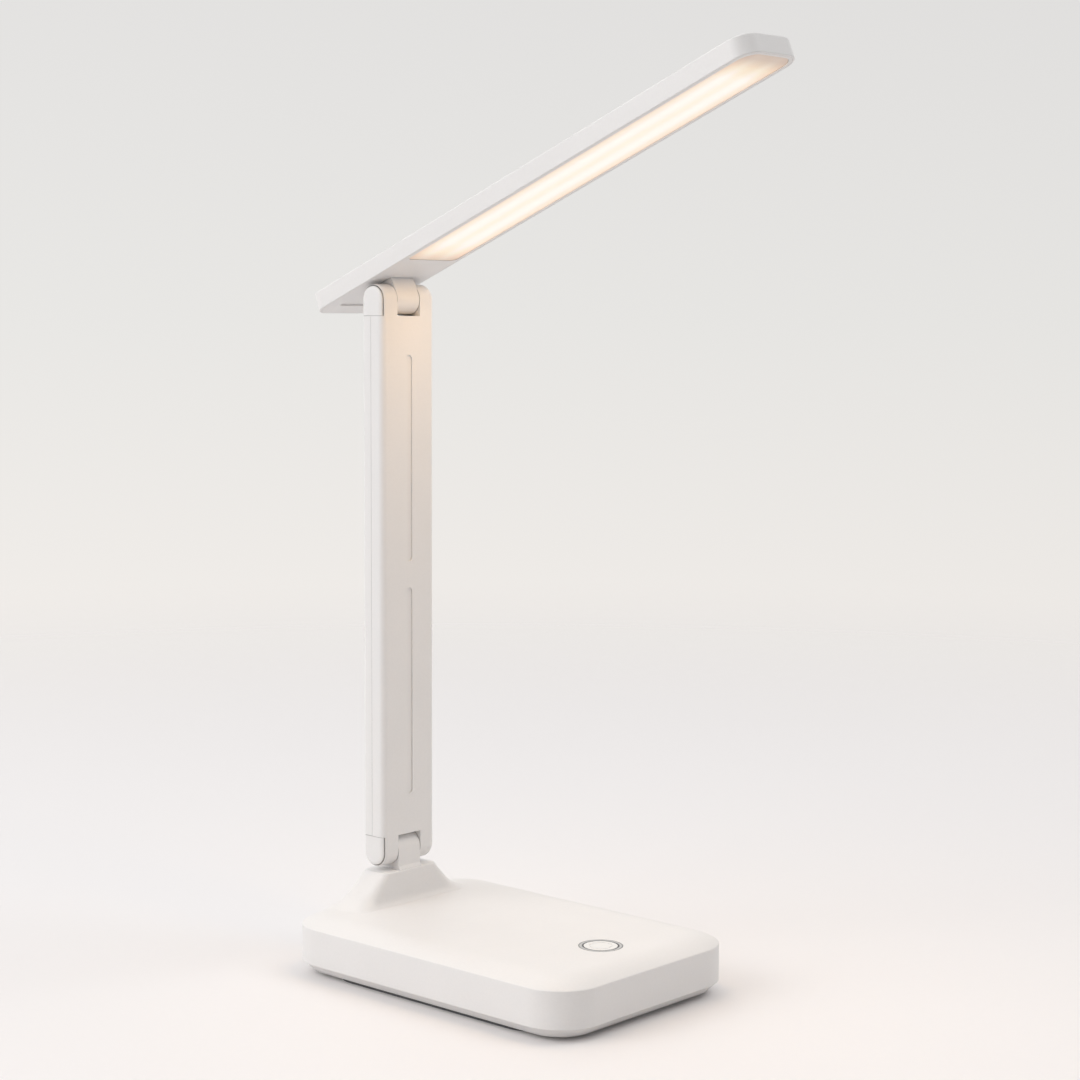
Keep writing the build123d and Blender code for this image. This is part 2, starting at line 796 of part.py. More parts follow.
def end_prism(radius, upper, y0, y1, seam):
    """Round-ended outline about one hinge axis, running on to the seam at the slot floor."""
    if upper:
        pivot_z, seam_z = upper_pivot_z, upper_slot_z + seam
    else:
        pivot_z, seam_z = lower_pivot_z, lower_slot_z - seam
    z0, z1 = sorted((pivot_z, seam_z))
    tail = block(hinge_x - radius, hinge_x + radius, y0, y1, z0, z1)
    return crosswise(radius, hinge_x, pivot_z, y0, y1) + tail


def arm_cavity(inset):
    wall = arm_wall + inset
    cavity = block(arm_rear + wall, arm_front - wall, wall - arm_side, arm_side - wall,
                   lower_slot_z + web_thickness, upper_slot_z - web_thickness)
    return fillet(cavity.edges().filter_by(Axis.Z), arm_edge_round - arm_wall)


def arm_screw_places():
    heights = (lower_pivot_z + arm_screw_reach, upper_pivot_z - arm_screw_reach)
    return [(side * arm_screw_spread, z) for z in heights for side in (-1, 1)]


def along_x(radius, y, z, x0, x1):
    return Pos((x0 + x1) / 2, y, z) * Rot(0, 90, 0) * Cylinder(radius, x1 - x0)


def stiffener_rear():
    return arm_front - arm_wall - boss_height - stiffener_thickness


def arm_end_cuts():
    """Slots, cap recesses, fastener pockets and shaft bores at both ends of the arm."""
    reach = arm_depth
    cuts = block(hinge_x - reach, hinge_x + reach, -slot_width / 2, slot_width / 2,
                 lower_pivot_z - reach, lower_slot_z)
    cuts += block(hinge_x - reach, hinge_x + reach, -slot_width / 2, slot_width / 2,
                  upper_slot_z, upper_pivot_z + reach)
    for upper, pivot_z in ((False, lower_pivot_z), (True, upper_pivot_z)):
        cuts += crosswise(shaft_radius + running_clearance, hinge_x, pivot_z, -arm_side, arm_side)
        for side in (-1, 1):
            y0, y1 = sorted((side * cap_inner_y, side * (arm_side + cut_margin)))
            cuts += end_prism(cap_radius + cap_gap, upper, y0, y1, 0)
            y0, y1 = sorted((side * pocket_floor_y, side * arm_side))
            cuts += crosswise(pocket_radius, hinge_x, pivot_z, y0, y1)
    return cuts


def arm_front_shell():
    form = arm_form()
    reach = arm_depth
    body = form - arm_cavity(0)
    body -= block(hinge_x - reach, split_x + seam_gap / 2, -reach * 2, reach * 2,
                  lower_slot_z, upper_slot_z)
    body -= arm_end_cuts()
    for y, z in arm_screw_places():
        body += along_x(boss_radius, y, z, arm_front - arm_wall - boss_height, arm_front - arm_wall / 2)
        body -= along_x(small_screw[2] + thread_gap, y, z, split_x, arm_front - arm_wall / 2)
    for z0, z1 in ((lower_groove_bottom, lower_groove_top), (upper_groove_bottom, upper_groove_top)):
        slot = Rot(0, 0, 90) * SlotOverall(z1 - z0, groove_width)
        face = Plane(origin=(arm_front - groove_depth, 0, (z0 + z1) / 2), x_dir=(0, 1, 0),
                     z_dir=(1, 0, 0))
        body -= extrude(face * slot, groove_depth + cut_margin)
    return body


def arm_rear_shell():
    reach = arm_depth
    body = arm_form() & block(hinge_x - reach, split_x - seam_gap / 2, -reach * 2, reach * 2,
                              lower_slot_z + seam_gap / 2, upper_slot_z - seam_gap / 2)
    lap = arm_cavity(seam_gap) - arm_cavity(seam_gap + lap_thickness)
    lap &= block(split_x - arm_wall, split_x + lap_height, -reach * 2, reach * 2,
                 lower_slot_z, upper_slot_z)
    body = body - arm_cavity(0) + lap
    body -= arm_end_cuts()
    rear_wall = arm_rear + arm_wall / 2
    for y, z in arm_screw_places():
        body += along_x(boss_radius, y, z, rear_wall, stiffener_rear())
        body -= along_x(small_screw[2] + screw_play, y, z, arm_rear - cut_margin,
                        stiffener_rear() + cut_margin)
        body -= along_x(small_screw[0] + screw_play, y, z, arm_rear - cut_margin,
                        arm_rear + small_screw[1] + fit_gap)
    for i in range(clip_count):
        z = lower_pivot_z + clip_reach + i * clip_pitch
        for side in (-1, 1):
            y0, y1 = sorted((side * channel_radius, side * (channel_radius + clip_thickness)))
            body += block(rear_wall, arm_rear + arm_wall + clip_height, y0, y1, z - clip_height,
                          z + clip_height)
    lead_x = hinge_x - arm_lead_offset
    return body - upright(channel_radius, lead_x, 0, lower_slot_z - cut_margin, upper_slot_z + cut_margin)


def arm_stiffener():
    x0 = stiffener_rear()
    x1 = x0 + stiffener_thickness
    half = stiffener_width / 2
    z0 = lower_slot_z + stiffener_margin
    z1 = upper_slot_z - stiffener_margin
    body = block(x0, x1, -half, half, z0, z1)
    body += block(x0 - stiffener_flange, x1, -half, stiffener_thickness - half, z0, z1)
    body += block(x0 - stiffener_flange, x1, half - stiffener_thickness, half, z0, z1)
    for y, z in arm_screw_places():
        body -= along_x(small_screw[2] + screw_play, y, z, x0 - cut_margin, x1 + cut_margin)
    return body


def arm_screws():
    seat = arm_rear + small_screw[1] + fit_gap
    tip = arm_front - arm_wall / 2 - fit_gap
    one = Rot(0, 90, 0) * screw(small_screw, tip - seat)
    return group(Pos(seat, y, z) * one for y, z in arm_screw_places())


def hinge_caps(upper):
    pivot_z = upper_pivot_z if upper else lower_pivot_z
    caps = []
    for side in (-1, 1):
        y0, y1 = sorted((side * cap_inner_y, side * (arm_side + cut_margin)))
        cap = arm_form() & end_prism(cap_radius, upper, y0, y1, seam_gap)
        s0, s1 = sorted((side * (cap_inner_y - cap_skirt_depth), side * cap_inner_y))
        skirt = crosswise(pocket_radius - thread_gap, hinge_x, pivot_z, s0, s1)
        skirt -= crosswise(pocket_radius - cap_skirt_wall, hinge_x, pivot_z, s0 - cut_margin,
                           s1 + cut_margin)
        caps.append(cap + skirt)
    return group(caps)


def arm_lead():
    x = hinge_x - arm_lead_offset
    return upright(lead_radius, x, 0, lower_slot_z + fit_gap, upper_slot_z - fit_gap)


# Head, in its own axes -----------------------------------------------------------------------


def head_outline(inset):
    return soft_rectangle(head_rear + inset, head_front - inset, head_width - 2 * inset,
                          head_rear_corner - inset, head_front_corner - inset)


def layer(outline, z0, z1):
    return Pos(0, 0, z0) * extrude(outline, z1 - z0)


def window_outline(grow):
    return soft_rectangle(window_rear - grow, window_front + grow, window_width + 2 * grow,
                          window_rear_corner + grow, window_front_corner + grow)


def flange_screw_places():
    y = flange_width / 2 - flange_screw_inset
    xs = (flange_rear + flange_screw_inset, flange_front - flange_screw_inset)
    return [(x, side * y) for x in xs for side in (-1, 1)]


def head_top_shell():
    body = layer(head_outline(0), head_underside, head_top)
    body = fillet(body.faces().sort_by(Axis.Z)[-1].edges(), head_top_round)
    body = fillet(body.faces().sort_by(Axis.Z)[0].edges(), head_edge_round)
    body -= layer(head_outline(head_wall), head_underside - cut_margin, head_ceiling)
    body -= layer(head_outline(frame_inset), head_underside - cut_margin, frame_top)
    for x, y in flange_screw_places():
        body += upright(small_screw[0], x, y, flange_top, head_ceiling + head_wall / 4)
        body -= upright(small_screw[2] + thread_gap, x, y, flange_top - cut_margin, head_top - head_wall / 2)
    return in_head(body)


def neck_opening():
    return block(-knuckle_radius - fit_gap, neck_front + fit_gap, -knuckle_width / 2 - fit_gap,
                 knuckle_width / 2 + fit_gap, head_underside - cut_margin, frame_top + cut_margin)


def head_lower_frame():
    body = layer(head_outline(frame_inset + seam_gap / 2), head_underside, frame_top)
    body -= layer(window_outline(0), head_underside - cut_margin, frame_top + cut_margin)
    body -= neck_opening()
    recess = block(rear_recess_start, rear_recess_end, -rear_recess_width / 2, rear_recess_width / 2,
                   head_underside - cut_margin, head_underside + rear_recess_depth)
    body -= fillet(recess.edges().filter_by(Axis.Z), rear_recess_corner)
    edge_y = head_width / 2 - head_wall - seam_gap
    for x in tab_places:
        for side in (-1, 1):
            y0, y1 = sorted((side * (edge_y - tab_thickness), side * edge_y))
            body += block(x - tab_length / 2, x + tab_length / 2, y0, y1, frame_top - fit_gap,
                          frame_top + tab_height)
    return in_head(body)


def light_diffuser():
    body = layer(window_outline(-seam_gap), head_underside + diffuser_sunk, frame_top)
    body += layer(window_outline(diffuser_flange), frame_top, frame_top + diffuser_flange_thickness)
    return in_head(body)


def led_places():
    return [(led_first + i * led_pitch, y) for i in range(led_count) for y in led_rows]


def led_board():
    body = block(led_board_rear, led_board_front, -led_board_width / 2, led_board_width / 2,
                 led_board_bottom, led_board_top)
    return in_head(body)


def led_board_tape():
    half = led_board_width / 2 - board_tape_margin
    body = block(led_board_rear, led_board_front, -half, half, led_board_top, head_ceiling)
    return in_head(body)


def led_chips():
    one = Box(led_length, led_width, led_height)
    middle = led_board_bottom - led_height / 2
    return group(in_head(Pos(x, y, middle) * one) for x, y in led_places())


def reflector_tray():
    bottom = frame_top + diffuser_flange_thickness
    sheet_bottom = led_board_bottom - reflector_sheet
    half = reflector_width / 2
    body = block(reflector_rear, reflector_front, -half, half, bottom, led_board_bottom)
    body -= block(reflector_rear + reflector_wall, reflector_front - reflector_wall,
                  reflector_wall - half, half - reflector_wall, bottom - cut_margin, sheet_bottom)
    holes = []
    for x, y in led_places():
        hole = Box(led_length + 2 * led_window_gap, led_width + 2 * led_window_gap, 2 * cut_margin)
        holes.append(Pos(x, y, led_board_bottom) * hole)
    return in_head(body - holes)


def head_knuckle():
    """Modelled upside down as a knuckle, its neck then passes up through the frame."""
    core = knuckle_core(neck_waist_front, neck_front, -head_underside, neck_flare_height)
    body = core - hinge_hollows() - lead_groove()
    body = mirror(body, about=Plane.XY)
    half = knuckle_width / 2
    body += block(-knuckle_radius, neck_front, -half, half, head_underside, flange_top)
    body += block(flange_rear, flange_front, -flange_width / 2, flange_width / 2, flange_bottom,
                  flange_top)
    for x, y in flange_screw_places():
        body -= upright(small_screw[2] + screw_play, x, y, flange_bottom - cut_margin,
                        flange_top + cut_margin)
    body -= upright(channel_radius, -lead_offset, 0, -knuckle_radius, flange_top + cut_margin)
    body -= block(-lead_offset, flange_front + cut_margin, -channel_radius, channel_radius,
                  head_lead_z() - channel_radius - head_slot_room, flange_top + cut_margin)
    return in_head(body)


def head_knuckle_screws():
    one = screw(small_screw, head_top - head_wall / 2 - fit_gap - flange_bottom)
    return group(in_head(Pos(x, y, flange_bottom) * one) for x, y in flange_screw_places())


def head_lead_z():
    return led_board_bottom - lead_radius - running_clearance


def head_lead():
    points = [(-lead_offset, 0, -head_lead_start), (-lead_offset, 0, head_lead_z()),
              (reflector_rear - head_lead_end_gap, 0, head_lead_z())]
    return in_head(tube_along(points, head_lead_bend, lead_radius))


# Leads in the base ---------------------------------------------------------------------------


def base_lead():
    """Lamp lead: control board, over the cell, then up through the pedestal into the knuckle."""
    rest_z = cell_top + lead_radius
    board_level = board_top + lead_radius
    channel_x = hinge_x - lead_offset
    edge_x = board_rear - lead_off_board
    points = [(board_rear + lead_on_board, 0, board_level), (edge_x, 0, board_level),
              (edge_x - lead_slope, 0, rest_z), (cell_rear - lead_past_cell, 0, rest_z),
              (channel_x, 0, rest_z + lead_rise), (channel_x, 0, lower_pivot_z + lead_above_pivot)]
    return tube_along(points, lead_bend, lead_radius)


def charging_lead():
    """From the charging board, round the cell on the counterweight, to the control board."""
    charge_level = charge_board_top + lead_radius + touch_gap
    weight_level = weight_top + lead_radius
    control_level = board_top + lead_radius + touch_gap
    start_y, leave_y, end_y = charge_lead_y
    beside_cell = -cell_width / 2 - charge_lead_cell_gap
    points = [(charge_board_front - charge_lead_length_on_board, start_y, charge_level),
              (charge_board_front, leave_y, charge_level),
              (cell_rear - charge_lead_run, beside_cell + charge_lead_sway, weight_level),
              (cell_rear + charge_lead_turn, beside_cell, weight_level),
              (cell_front - charge_lead_turn, beside_cell, weight_level),
              (board_rear - charge_lead_run, beside_cell + charge_lead_sway, control_level),
              (board_rear + charge_lead_run, end_y, control_level)]
    return tube_along(points, lead_bend, lead_radius)


def battery_lead():
    low = cell_top - cell_lead_drop
    level = board_top + lead_radius + touch_gap
    start_y, edge_y, end_y = cell_lead_y
    points = [(cell_front, start_y, low), (cell_front + cell_lead_stub, start_y, low),
              (board_rear - lead_off_board, edge_y, level),
              (board_rear + cell_lead_on_board, end_y, level)]
    return tube_along(points, lead_bend, lead_radius)


# Sub-parts -----------------------------------------------------------------------------------


def sub_parts():
    return {
        "anti_slip_pad": anti_slip_pad(),
        "base_bottom_cover": base_bottom_cover(),
        "base_top_shell": base_top_shell(),
        "cover_screws": cover_screws(),
        "counterweight_plate": counterweight_plate(),
        "counterweight_screws": counterweight_screws(),
        "battery_cell": battery_cell(),
        "battery_pad": battery_pad(),
        "control_board": control_board(),
        "board_components": board_components(),
        "control_board_screws": screws_from_above(small_screw, board_screw_places(), board_top,
                                                  board_thickness + board_standoff - screw_tip_gap),
        "charging_board": charging_board(),
        "charging_board_screws": screws_from_above(small_screw, charge_screw_places(), charge_board_top,
                                                   board_thickness + charge_board_standoff
                                                   - screw_tip_gap),
        "charging_socket": charging_socket(),
        "touch_contact_spring": touch_contact_spring(),
        "touch_button_ring": touch_button_ring(),
        "touch_button": touch_button(),
        "base_lead": base_lead(),
        "charging_lead": charging_lead(),
        "battery_lead": battery_lead(),
        "base_knuckle": base_knuckle(),
        "knuckle_screws": knuckle_screws(),
        "lower_hinge_bush": at_lower_hinge(hinge_bush()),
        "lower_friction_washers": group(at_lower_hinge(ring) for ring in friction_washers()),
        "lower_hinge_shaft": at_lower_hinge(hinge_shaft()),
        "lower_spring_washer": at_lower_hinge(spring_washer()),
        "lower_hinge_nut": at_lower_hinge(hinge_nut()),
        "lower_hinge_caps": hinge_caps(False),
        "arm_front_shell": arm_front_shell(),
        "arm_rear_shell": arm_rear_shell(),
        "arm_stiffener": arm_stiffener(),
        "arm_screws": arm_screws(),
        "arm_lead": arm_lead(),
        "upper_hinge_caps": hinge_caps(True),
        "upper_hinge_shaft": at_upper_hinge(hinge_shaft()),
        "upper_spring_washer": at_upper_hinge(spring_washer()),
        "upper_hinge_nut": at_upper_hinge(hinge_nut()),
        "upper_hinge_bush": in_head(hinge_bush()),
        "upper_friction_washers": group(in_head(ring) for ring in friction_washers()),
        "head_knuckle": head_knuckle(),
        "head_knuckle_screws": head_knuckle_screws(),
        "head_top_shell": head_top_shell(),
        "head_lower_frame": head_lower_frame(),
        "light_diffuser": light_diffuser(),
        "reflector_tray": reflector_tray(),
        "led_board": led_board(),
        "led_board_tape": led_board_tape(),
        "led_chips": led_chips(),
        "head_lead": head_lead(),
    }


os.makedirs("parts", exist_ok=True)
for name, shape in sub_parts().items():
    export_step(shape, f"parts/{name}.step")
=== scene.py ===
import json
import math

import bpy
from mathutils import Matrix, Vector


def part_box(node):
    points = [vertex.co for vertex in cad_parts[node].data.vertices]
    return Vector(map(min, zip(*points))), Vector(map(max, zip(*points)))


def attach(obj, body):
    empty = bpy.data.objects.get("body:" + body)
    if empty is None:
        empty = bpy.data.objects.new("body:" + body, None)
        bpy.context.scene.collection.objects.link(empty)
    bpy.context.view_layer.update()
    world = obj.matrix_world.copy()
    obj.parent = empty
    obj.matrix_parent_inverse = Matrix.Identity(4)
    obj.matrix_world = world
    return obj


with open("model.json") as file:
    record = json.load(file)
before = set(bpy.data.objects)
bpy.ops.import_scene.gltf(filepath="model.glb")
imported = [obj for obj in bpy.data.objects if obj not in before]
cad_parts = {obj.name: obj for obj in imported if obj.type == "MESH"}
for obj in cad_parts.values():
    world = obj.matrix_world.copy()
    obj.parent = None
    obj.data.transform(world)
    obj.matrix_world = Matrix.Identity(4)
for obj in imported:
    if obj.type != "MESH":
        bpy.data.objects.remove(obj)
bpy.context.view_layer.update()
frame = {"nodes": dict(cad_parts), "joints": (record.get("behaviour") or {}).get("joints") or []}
bpy.context.scene.view_settings.view_transform = "Standard"

joints = {joint["name"]: joint for joint in frame["joints"]}
upperPivot = Vector(joints["head_tilt"]["pos_m"])
headRaised = math.radians(22.14)  # tilt of the head at rest
noiseLow, noiseHigh = 0.3, 0.7  # most values of a noise lie between these


def newMaterial(name):
    material = bpy.data.materials.new(name)
    material.use_nodes = True
    tree = material.node_tree
    return material, tree, tree.nodes["Principled BSDF"]


def objectPlace(tree, turn=(0, 0, 0), shift=(0, 0, 0), stretch=(1, 1, 1)):
    place = tree.nodes.new("ShaderNodeTexCoord").outputs["Object"]
    if (turn, shift, stretch) == ((0, 0, 0), (0, 0, 0), (1, 1, 1)):
        return place
    mapping = tree.nodes.new("ShaderNodeMapping")
    mapping.inputs["Rotation"].default_value = turn
    mapping.inputs["Location"].default_value = shift
    mapping.inputs["Scale"].default_value = stretch
    tree.links.new(place, mapping.inputs["Vector"])
    return mapping.outputs["Vector"]


def noise(tree, place, scale, detail=3.0, rough=0.55, warp=0.0):
    node = tree.nodes.new("ShaderNodeTexNoise")
    node.inputs["Scale"].default_value = scale
    node.inputs["Detail"].default_value = detail
    node.inputs["Roughness"].default_value = rough
    node.inputs["Distortion"].default_value = warp
    tree.links.new(place, node.inputs["Vector"])
    return node.outputs["Fac"]


def cells(tree, place, scale, feature="F1"):
    node = tree.nodes.new("ShaderNodeTexVoronoi")
    node.feature = feature
    node.inputs["Scale"].default_value = scale
    tree.links.new(place, node.inputs["Vector"])
    return node.outputs["Distance"]


def remap(tree, value, fromLow, fromHigh, toLow, toHigh, smooth=False):
    node = tree.nodes.new("ShaderNodeMapRange")
    node.interpolation_type = "SMOOTHSTEP" if smooth else "LINEAR"
    node.inputs["From Min"].default_value = fromLow
    node.inputs["From Max"].default_value = fromHigh
    node.inputs["To Min"].default_value = toLow
    node.inputs["To Max"].default_value = toHigh
    tree.links.new(value, node.inputs["Value"])
    return node.outputs["Result"]


def ramp(tree, value, stops, ease="LINEAR"):
    node = tree.nodes.new("ShaderNodeValToRGB")
    node.color_ramp.interpolation = ease
    elements = node.color_ramp.elements
    elements[0].position, elements[0].color = stops[0][0], (*stops[0][1], 1)
    elements[1].position, elements[1].color = stops[-1][0], (*stops[-1][1], 1)
    for position, color in stops[1:-1]:
        elements.new(position).color = (*color, 1)
    tree.links.new(value, node.inputs["Fac"])
    return node.outputs["Color"]


def arithmetic(tree, operation, first, second=None):
    node = tree.nodes.new("ShaderNodeMath")
    node.operation = operation
    for slot, value in enumerate((first, second)):
        if value is None:
            continue
        if isinstance(value, (int, float)):
            node.inputs[slot].default_value = value
        else:
            tree.links.new(value, node.inputs[slot])
    return node.outputs["Value"]


def multiplied(tree, first, second):
    node = tree.nodes.new("ShaderNodeMix")
    node.data_type = "RGBA"
    node.blend_type = "MULTIPLY"
    node.inputs["Factor"].default_value = 1.0
    tree.links.new(first, node.inputs["A"])
    tree.links.new(second, node.inputs["B"])
    return node.outputs["Result"]


def lengthOf(tree, vector):
    node = tree.nodes.new("ShaderNodeVectorMath")
    node.operation = "LENGTH"
    tree.links.new(vector, node.inputs[0])
    return node.outputs["Value"]


def alongDirection(tree, vector, direction):
    node = tree.nodes.new("ShaderNodeVectorMath")
    node.operation = "DOT_PRODUCT"
    node.inputs[1].default_value = direction
    tree.links.new(vector, node.inputs[0])
    return node.outputs["Value"]


def axesOf(tree, vector):
    node = tree.nodes.new("ShaderNodeSeparateXYZ")
    tree.links.new(vector, node.inputs[0])
    return node.outputs["X"], node.outputs["Y"], node.outputs["Z"]


def mixedShaders(tree, share, first, second):
    node = tree.nodes.new("ShaderNodeMixShader")
    tree.links.new(share, node.inputs["Fac"])
    tree.links.new(first.outputs[0], node.inputs[1])
    tree.links.new(second.outputs[0], node.inputs[2])
    return node.outputs[0]


def shade(color, factor):
    return tuple(min(1.0, part * factor) for part in color)


def varied(tree, value, color, share):  # the color, darker and lighter by that share
    return ramp(tree, value, [(noiseLow, shade(color, 1 - share)), (noiseHigh, shade(color, 1 + share))])


def fromNoise(tree, value, low, high):  # the noise's usual span, spread from low to high
    return remap(tree, value, noiseLow, noiseHigh, low, high)


def roughen(tree, shader, value, bounds):  # gloss that follows a noise
    tree.links.new(fromNoise(tree, value, *bounds), shader.inputs["Roughness"])


def paintedGapShade(tree, gap):  # painted shade: the colour is darkened by ambient occlusion in a narrow gap, as little light comes back out of it
    node = tree.nodes.new("ShaderNodeAmbientOcclusion")
    node.samples = gap["samples"]
    node.inputs["Distance"].default_value = gap["reach"]
    return remap(tree, node.outputs["AO"], *gap["openShares"], gap["dark"], 1.0)


def bumps(tree, shader, layers):  # each layer is height, distance in metres, strength
    below = None
    for height, distance, strength in layers:
        node = tree.nodes.new("ShaderNodeBump")
        node.inputs["Distance"].default_value = distance
        node.inputs["Strength"].default_value = strength
        tree.links.new(height, node.inputs["Height"])
        if below is not None:
            tree.links.new(below, node.inputs["Normal"])
        below = node.outputs["Normal"]
    tree.links.new(below, shader.inputs["Normal"])


# moulded plastic, with painted shade in narrow gaps; a bump is its distance in metres and its strength
casingFinish = {
    "color": (0.801, 0.784, 0.775),
    "mottle": 0.010, "mottleScale": 28.0,    # slow drift of the pigment
    "fleck": 0.012, "fleckScale": 900.0, "fleckBounds": (0.25, 0.75),
    "rough": (0.34, 0.44), "specular": 0.45,
    "grainScale": 2600.0, "grainBump": (0.000012, 0.8),
    "sinkScale": 45.0, "sinkBump": (0.00010, 0.5),
    "coat": 0.0, "coatRough": 0.12,
    # painted shade in narrow gaps: occlusion reach and samples, the open shares, and the darkest share of
    # the colour
    "gap": {"reach": 0.0016, "samples": 8, "openShares": (0.1, 0.5), "dark": 0.10},
}
buttonFinish = dict(casingFinish, color=(0.84, 0.83, 0.81), rough=(0.16, 0.24), grainScale=1500.0,
                    grainBump=(0.000004, 0.8), coat=0.25)
nylonFinish = dict(casingFinish, color=(0.78, 0.75, 0.66), rough=(0.35, 0.5), mottle=0.03)
reflectorFinish = dict(casingFinish, color=(0.88, 0.88, 0.87), rough=(0.2, 0.32), grainScale=1200.0)


def mouldedPlastic(name, finish):
    material, tree, shader = newMaterial(name)
    place = objectPlace(tree)
    drift = noise(tree, place, finish["mottleScale"], detail=2.0)
    fleck = noise(tree, place, finish["fleckScale"], detail=2.0, rough=0.7)
    mixed = arithmetic(tree, "ADD", fromNoise(tree, drift, -finish["mottle"], finish["mottle"]),
                       remap(tree, fleck, *finish["fleckBounds"], -finish["fleck"], finish["fleck"]))
    span = finish["mottle"] + finish["fleck"]
    color = ramp(tree, remap(tree, mixed, -span, span, 0.0, 1.0),
                 [(0.0, shade(finish["color"], 1 - span)), (1.0, shade(finish["color"], 1 + span))])
    # painted shade: the colour is multiplied by the darkening of narrow gaps
    tree.links.new(multiplied(tree, color, paintedGapShade(tree, finish["gap"])), shader.inputs["Base Color"])
    grain = noise(tree, place, finish["grainScale"], detail=2.0, rough=0.6)
    roughen(tree, shader, grain, finish["rough"])
    shader.inputs["Specular IOR Level"].default_value = finish["specular"]
    shader.inputs["Coat Weight"].default_value = finish["coat"]
    shader.inputs["Coat Roughness"].default_value = finish["coatRough"]
    sink = noise(tree, place, finish["sinkScale"], detail=1.0)
    bumps(tree, shader, [(sink, *finish["sinkBump"]), (grain, *finish["grainBump"])])
    return material


# rubber, foam, lead jackets and tape
padFinish = {
    "color": (0.10, 0.10, 0.105), "rough": (0.72, 0.9), "specular": 0.3,
    "poreScale": 1400.0, "poreBump": (0.00004, 0.7),
    "driftScale": 60.0, "poreShare": 0.5,    # share of the pores in their mix with the drift
    "tones": ((0.25, 0.86), (0.6, 1.12)),    # value of that mix, then a share of the color
}
foamFinish = dict(padFinish, color=(0.16, 0.16, 0.17), rough=(0.85, 0.98), poreScale=900.0,
                  poreBump=(0.00018, 0.7))
jacketFinish = dict(padFinish, color=(0.74, 0.74, 0.72), rough=(0.38, 0.5), poreScale=700.0,
                    poreBump=(0.000015, 0.7))
tapeFinish = dict(padFinish, color=(0.42, 0.42, 0.43), rough=(0.6, 0.8), poreScale=1100.0,
                  poreBump=(0.00005, 0.7))


def softPolymer(name, finish):
    material, tree, shader = newMaterial(name)
    place = objectPlace(tree)
    pores = cells(tree, place, finish["poreScale"])
    drift = noise(tree, place, finish["driftScale"])
    both = arithmetic(tree, "ADD", arithmetic(tree, "MULTIPLY", pores, finish["poreShare"]),
                      arithmetic(tree, "MULTIPLY", drift, 1 - finish["poreShare"]))
    stops = [(value, shade(finish["color"], share)) for value, share in finish["tones"]]
    tree.links.new(ramp(tree, both, stops), shader.inputs["Base Color"])
    roughen(tree, shader, drift, finish["rough"])
    shader.inputs["Specular IOR Level"].default_value = finish["specular"]
    bumps(tree, shader, [(pores, *finish["poreBump"])])
    return material


# metals: stretch pulls the marks along one axis
screwFinish = {
    "color": (0.60, 0.61, 0.62), "rough": (0.26, 0.42),
    "stretch": (1, 1, 1), "scale": 2200.0, "bump": (0.000006, 0.8),
    "stain": 0.10, "stainScale": 120.0,
}
plateFinish = dict(screwFinish, color=(0.42, 0.42, 0.43), rough=(0.38, 0.58), stretch=(0.06, 1, 1),
                   scale=1500.0, bump=(0.000010, 0.8), stain=0.16)
socketFinish = dict(screwFinish, color=(0.68, 0.68, 0.69), rough=(0.2, 0.34), stretch=(0.1, 1, 1),
                    scale=2600.0, bump=(0.000004, 0.8), stain=0.06)
brassFinish = dict(screwFinish, color=(0.72, 0.55, 0.25), rough=(0.24, 0.4), stretch=(1, 0.12, 1),
                   scale=2400.0, bump=(0.000005, 0.8), stain=0.12)
aluminiumFinish = dict(screwFinish, color=(0.76, 0.77, 0.78), rough=(0.3, 0.46), stretch=(1, 1, 0.04),
                       scale=1600.0, stain=0.08)


def workedMetal(name, finish):
    material, tree, shader = newMaterial(name)
    marks = noise(tree, objectPlace(tree, stretch=finish["stretch"]), finish["scale"], rough=0.6)
    stain = noise(tree, objectPlace(tree), finish["stainScale"], detail=4.0, rough=0.6, warp=0.4)
    tree.links.new(varied(tree, stain, finish["color"], finish["stain"]), shader.inputs["Base Color"])
    shader.inputs["Metallic"].default_value = 1.0
    roughen(tree, shader, marks, finish["rough"])
    bumps(tree, shader, [(marks, *finish["bump"])])
    return material


# metal trim round the touch key: a dark line inside and a darker outer edge are painted shade of the gaps
# on either side; a pale face between
ringFinish = {
    "inner": 0.0071, "outer": 0.00908,       # radii between which the stops below lie
    "faceAndGapShadeStops": [
        # painted shade of the inner gap
        (0.00, (0.12, 0.12, 0.12)),
        (0.22, (0.13, 0.13, 0.13)),
        (0.34, (0.68, 0.67, 0.66)),
        (0.70, (0.68, 0.67, 0.66)),
        # painted shade of the outer gap
        (0.88, (0.31, 0.305, 0.30)),
        (1.00, (0.31, 0.305, 0.30))],
    "metallic": 0.85, "rough": (0.32, 0.42),
    "grainScale": 1900.0, "grainBump": (0.000004, 0.7),
}


def trimRing(name, finish):
    material, tree, shader = newMaterial(name)
    middle = [(low + high) / 2 for low, high in zip(*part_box("touch_button"))]
    place = objectPlace(tree, shift=(-middle[0], -middle[1], 0), stretch=(1, 1, 0))
    outward = remap(tree, lengthOf(tree, place), finish["inner"], finish["outer"], 0.0, 1.0)
    # the ramp paints the gaps' shade as dark rings round the pale face
    tree.links.new(ramp(tree, outward, finish["faceAndGapShadeStops"]), shader.inputs["Base Color"])
    shader.inputs["Metallic"].default_value = finish["metallic"]
    grain = noise(tree, objectPlace(tree), finish["grainScale"], detail=2.0, rough=0.6)
    roughen(tree, shader, grain, finish["rough"])
    bumps(tree, shader, [(grain, *finish["grainBump"])])
    return material


foilFinish = {
    "dark": (0.60, 0.61, 0.63), "light": (0.74, 0.75, 0.77),
    "metallic": 0.9, "rough": (0.22, 0.42),
    "creaseScale": 160.0, "creaseBump": (0.0002, 0.5),
    "wrinkleScale": 420.0, "wrinkleBump": (0.00005, 0.7),
}


